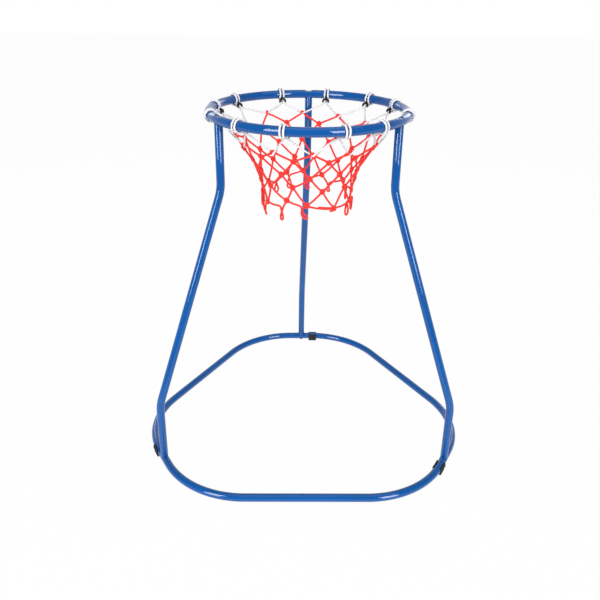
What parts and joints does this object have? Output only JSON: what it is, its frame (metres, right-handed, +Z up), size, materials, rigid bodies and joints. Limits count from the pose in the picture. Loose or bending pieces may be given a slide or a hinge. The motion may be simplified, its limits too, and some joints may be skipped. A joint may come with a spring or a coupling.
{
  "type": "basketball hoop",
  "caption": "Free-standing floor basketball hoop: a blue tube rim with a red knotted net on three bent legs over a rounded base loop.",
  "frame": {"origin": "middle of the footprint, on the floor", "axes": "+Z up along the hoop's axis, +Y from the middle of the front straight towards the rear leg, +X to the right seen from the front"},
  "size_m": [0.855, 0.8117, 0.9051],
  "materials": {
    "blue_coat": "glossy powder coat",
    "black_rubber": "matt moulded",
    "black_plastic": "satin moulded",
    "grey_nylon": "matt moulded",
    "white_cord": "braided cord",
    "red_cord": "braided cord",
    "yellow_zinc": "yellow zinc plated",
    "bright_zinc": "bright zinc plated"
  },
  "bodies": {
    "root": {"rim": "blue_coat", "leg_rear": "blue_coat", "leg_front_left": "blue_coat", "leg_front_right": "blue_coat", "base_tube_right": "blue_coat", "base_tube_front": "blue_coat", "base_tube_left": "blue_coat", "foot_rear": "black_rubber", "rim_bolt_rear": "yellow_zinc", "base_bolt_rear": "bright_zinc", "top_plug_rear": "grey_nylon", "bottom_plug_rear": "grey_nylon", "foot_front_left": "black_rubber", "rim_bolt_front_left": "yellow_zinc", "base_bolt_front_left": "bright_zinc", "top_plug_front_left": "grey_nylon", "bottom_plug_front_left": "grey_nylon", "foot_front_right": "black_rubber", "rim_bolt_front_right": "yellow_zinc", "base_bolt_front_right": "bright_zinc", "top_plug_front_right": "grey_nylon", "bottom_plug_front_right": "grey_nylon", "net_hook_01": "black_plastic", "net_hook_02": "black_plastic", "net_hook_03": "black_plastic", "net_hook_04": "black_plastic", "net_hook_05": "black_plastic", "net_hook_06": "black_plastic", "net_hook_07": "black_plastic", "net_hook_08": "black_plastic", "net_hook_09": "black_plastic", "net_hook_10": "black_plastic", "net_hook_11": "black_plastic", "net_hook_12": "black_plastic", "net_top_cord": "white_cord", "net_mesh": "red_cord"}
  },
  "joints": []
}
